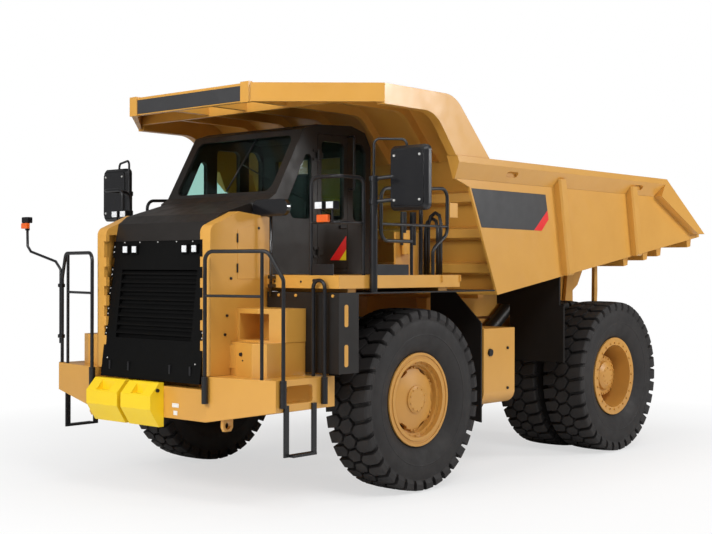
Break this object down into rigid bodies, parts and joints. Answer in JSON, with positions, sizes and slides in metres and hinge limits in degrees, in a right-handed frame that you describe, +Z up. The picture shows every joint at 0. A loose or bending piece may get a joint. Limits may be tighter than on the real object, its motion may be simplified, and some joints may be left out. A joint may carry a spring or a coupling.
{
  "type": "rigid-frame mining dump truck",
  "caption": "Two-axle rigid mining dump truck with dual rear wheels, tipping bed with rock guard, cab, decks and steered front wheels.",
  "frame": {"origin": "on the ground under the middle of the truck's box", "axes": "+X to the truck's left, -Y to its front, +Z up"},
  "size_m": [5.1, 8.751, 4.2242],
  "materials": {
    "body_yellow": "gloss",
    "block_yellow": "gloss",
    "rim_yellow": "gloss",
    "black_paint": "satin",
    "grille_black": "satin",
    "rail_black": "gloss",
    "tyre_rubber": "matte",
    "flap_rubber": "matte",
    "window_glass": "gloss",
    "frame_yellow": "satin",
    "engine_yellow": "satin",
    "dark_steel": "satin",
    "rod_chrome": "gloss",
    "seat_fabric": "matte",
    "lamp_glass": "gloss",
    "cab_plastic": "matte"
  },
  "bodies": {
    "chassis": {"main_frame": "frame_yellow", "front_bumper": "body_yellow", "bumper_blocks": "block_yellow", "radiator_grille": "grille_black", "hood_sides": "body_yellow", "hood_top": "black_paint", "engine_block": "engine_yellow", "drive_line": "engine_yellow", "step_boxes": "body_yellow", "front_fenders": "black_paint", "deck_platform": "body_yellow", "cab_shell": "black_paint", "cab_glass": "window_glass", "operator_seat": "seat_fabric", "cab_console": "cab_plastic", "side_tanks": "body_yellow", "rear_axle_housing": "frame_yellow", "suspension_struts": "frame_yellow", "handrails": "rail_black", "mirrors": "rail_black", "deck_canisters": "rail_black", "lamps": "lamp_glass"},
    "front_wheel_left": {"front_rim_left": "rim_yellow", "front_tyre_left": "tyre_rubber"},
    "front_wheel_right": {"front_rim_right": "rim_yellow", "front_tyre_right": "tyre_rubber"},
    "rear_wheels_left": {"rear_rims_left": "rim_yellow", "rear_tyres_left": "tyre_rubber"},
    "rear_wheels_right": {"rear_rims_right": "rim_yellow", "rear_tyres_right": "tyre_rubber"},
    "steering_knuckle_left": {"knuckle_left": "frame_yellow"},
    "steering_knuckle_right": {"knuckle_right": "frame_yellow"},
    "tie_rod_bar": {"tie_rod": "dark_steel"},
    "bed": {"bed_shell": "body_yellow", "bed_rails": "body_yellow", "bed_ribs": "body_yellow", "bed_canopy": "body_yellow", "bed_underframe": "body_yellow", "rear_mudflaps": "flap_rubber"},
    "hoist_barrel_l": {"hoist_barrel_left": "black_paint"},
    "hoist_barrel_r": {"hoist_barrel_right": "black_paint"},
    "hoist_rod_l": {"hoist_rod_left": "rod_chrome"},
    "hoist_rod_r": {"hoist_rod_right": "rod_chrome"},
    "door_left": {"cab_door": "black_paint", "cab_door_glass": "window_glass"}
  },
  "joints": [
    {"name": "steer_left", "type": "hinge", "parent": "chassis", "child": "steering_knuckle_left", "pos_m": [1.15, -2.035, 1], "axis": [0, 0, 1], "range_deg": [-35, 35]},
    {"name": "steer_right", "type": "hinge", "parent": "chassis", "child": "steering_knuckle_right", "pos_m": [-1.15, -2.035, 1], "axis": [0, 0, 1], "range_deg": [-35, 35]},
    {"name": "tie_rod_swing", "type": "hinge", "parent": "steering_knuckle_left", "child": "tie_rod_bar", "pos_m": [1.15, -1.605, 0.88], "axis": [0, 0, 1], "range_deg": [-35, 35]},
    {"name": "roll_front_left", "type": "hinge", "parent": "steering_knuckle_left", "child": "front_wheel_left", "pos_m": [1.6, -2.035, 0.965], "axis": [1, 0, 0], "continuous": true},
    {"name": "roll_front_right", "type": "hinge", "parent": "steering_knuckle_right", "child": "front_wheel_right", "pos_m": [-1.6, -2.035, 0.965], "axis": [1, 0, 0], "continuous": true},
    {"name": "roll_rear_left", "type": "hinge", "parent": "chassis", "child": "rear_wheels_left", "pos_m": [1.663, 1.925, 0.965], "axis": [1, 0, 0], "continuous": true},
    {"name": "roll_rear_right", "type": "hinge", "parent": "chassis", "child": "rear_wheels_right", "pos_m": [-1.663, 1.925, 0.965], "axis": [1, 0, 0], "continuous": true},
    {"name": "bed_tip", "type": "hinge", "parent": "chassis", "child": "bed", "pos_m": [0, 2.815, 1.62], "axis": [-1, 0, 0], "range_deg": [0, 50]},
    {"name": "hoist_swing_l", "type": "hinge", "parent": "chassis", "child": "hoist_barrel_l", "pos_m": [0.66, 0.115, 1.05], "axis": [1, 0, 0], "range_deg": [0, 6.6]},
    {"name": "hoist_slide_l", "type": "slide", "parent": "hoist_barrel_l", "child": "hoist_rod_l", "axis": [0, 0.8232, 0.5677], "range_m": [0, 1.09]},
    {"name": "hoist_swing_r", "type": "hinge", "parent": "chassis", "child": "hoist_barrel_r", "pos_m": [-0.66, 0.115, 1.05], "axis": [1, 0, 0], "range_deg": [0, 6.6]},
    {"name": "hoist_slide_r", "type": "slide", "parent": "hoist_barrel_r", "child": "hoist_rod_r", "axis": [0, 0.8232, 0.5677], "range_m": [0, 1.09]},
    {"name": "door_swing", "type": "hinge", "parent": "chassis", "child": "door_left", "pos_m": [0.878, -2.6075, 3], "axis": [0, 0, -1], "range_deg": [0, 75]}
  ],
  "couplings": [
    {"joint": "steer_right", "follows": "steer_left", "ratio": 1},
    {"joint": "tie_rod_swing", "follows": "steer_left", "ratio": -1},
    {"joint": "hoist_swing_l", "follows": "bed_tip", "ratio": 0.1305},
    {"joint": "hoist_slide_l", "follows": "bed_tip", "m_per_rad": 1.2417},
    {"joint": "hoist_swing_r", "follows": "bed_tip", "ratio": 0.1305},
    {"joint": "hoist_slide_r", "follows": "bed_tip", "m_per_rad": 1.2417}
  ]
}
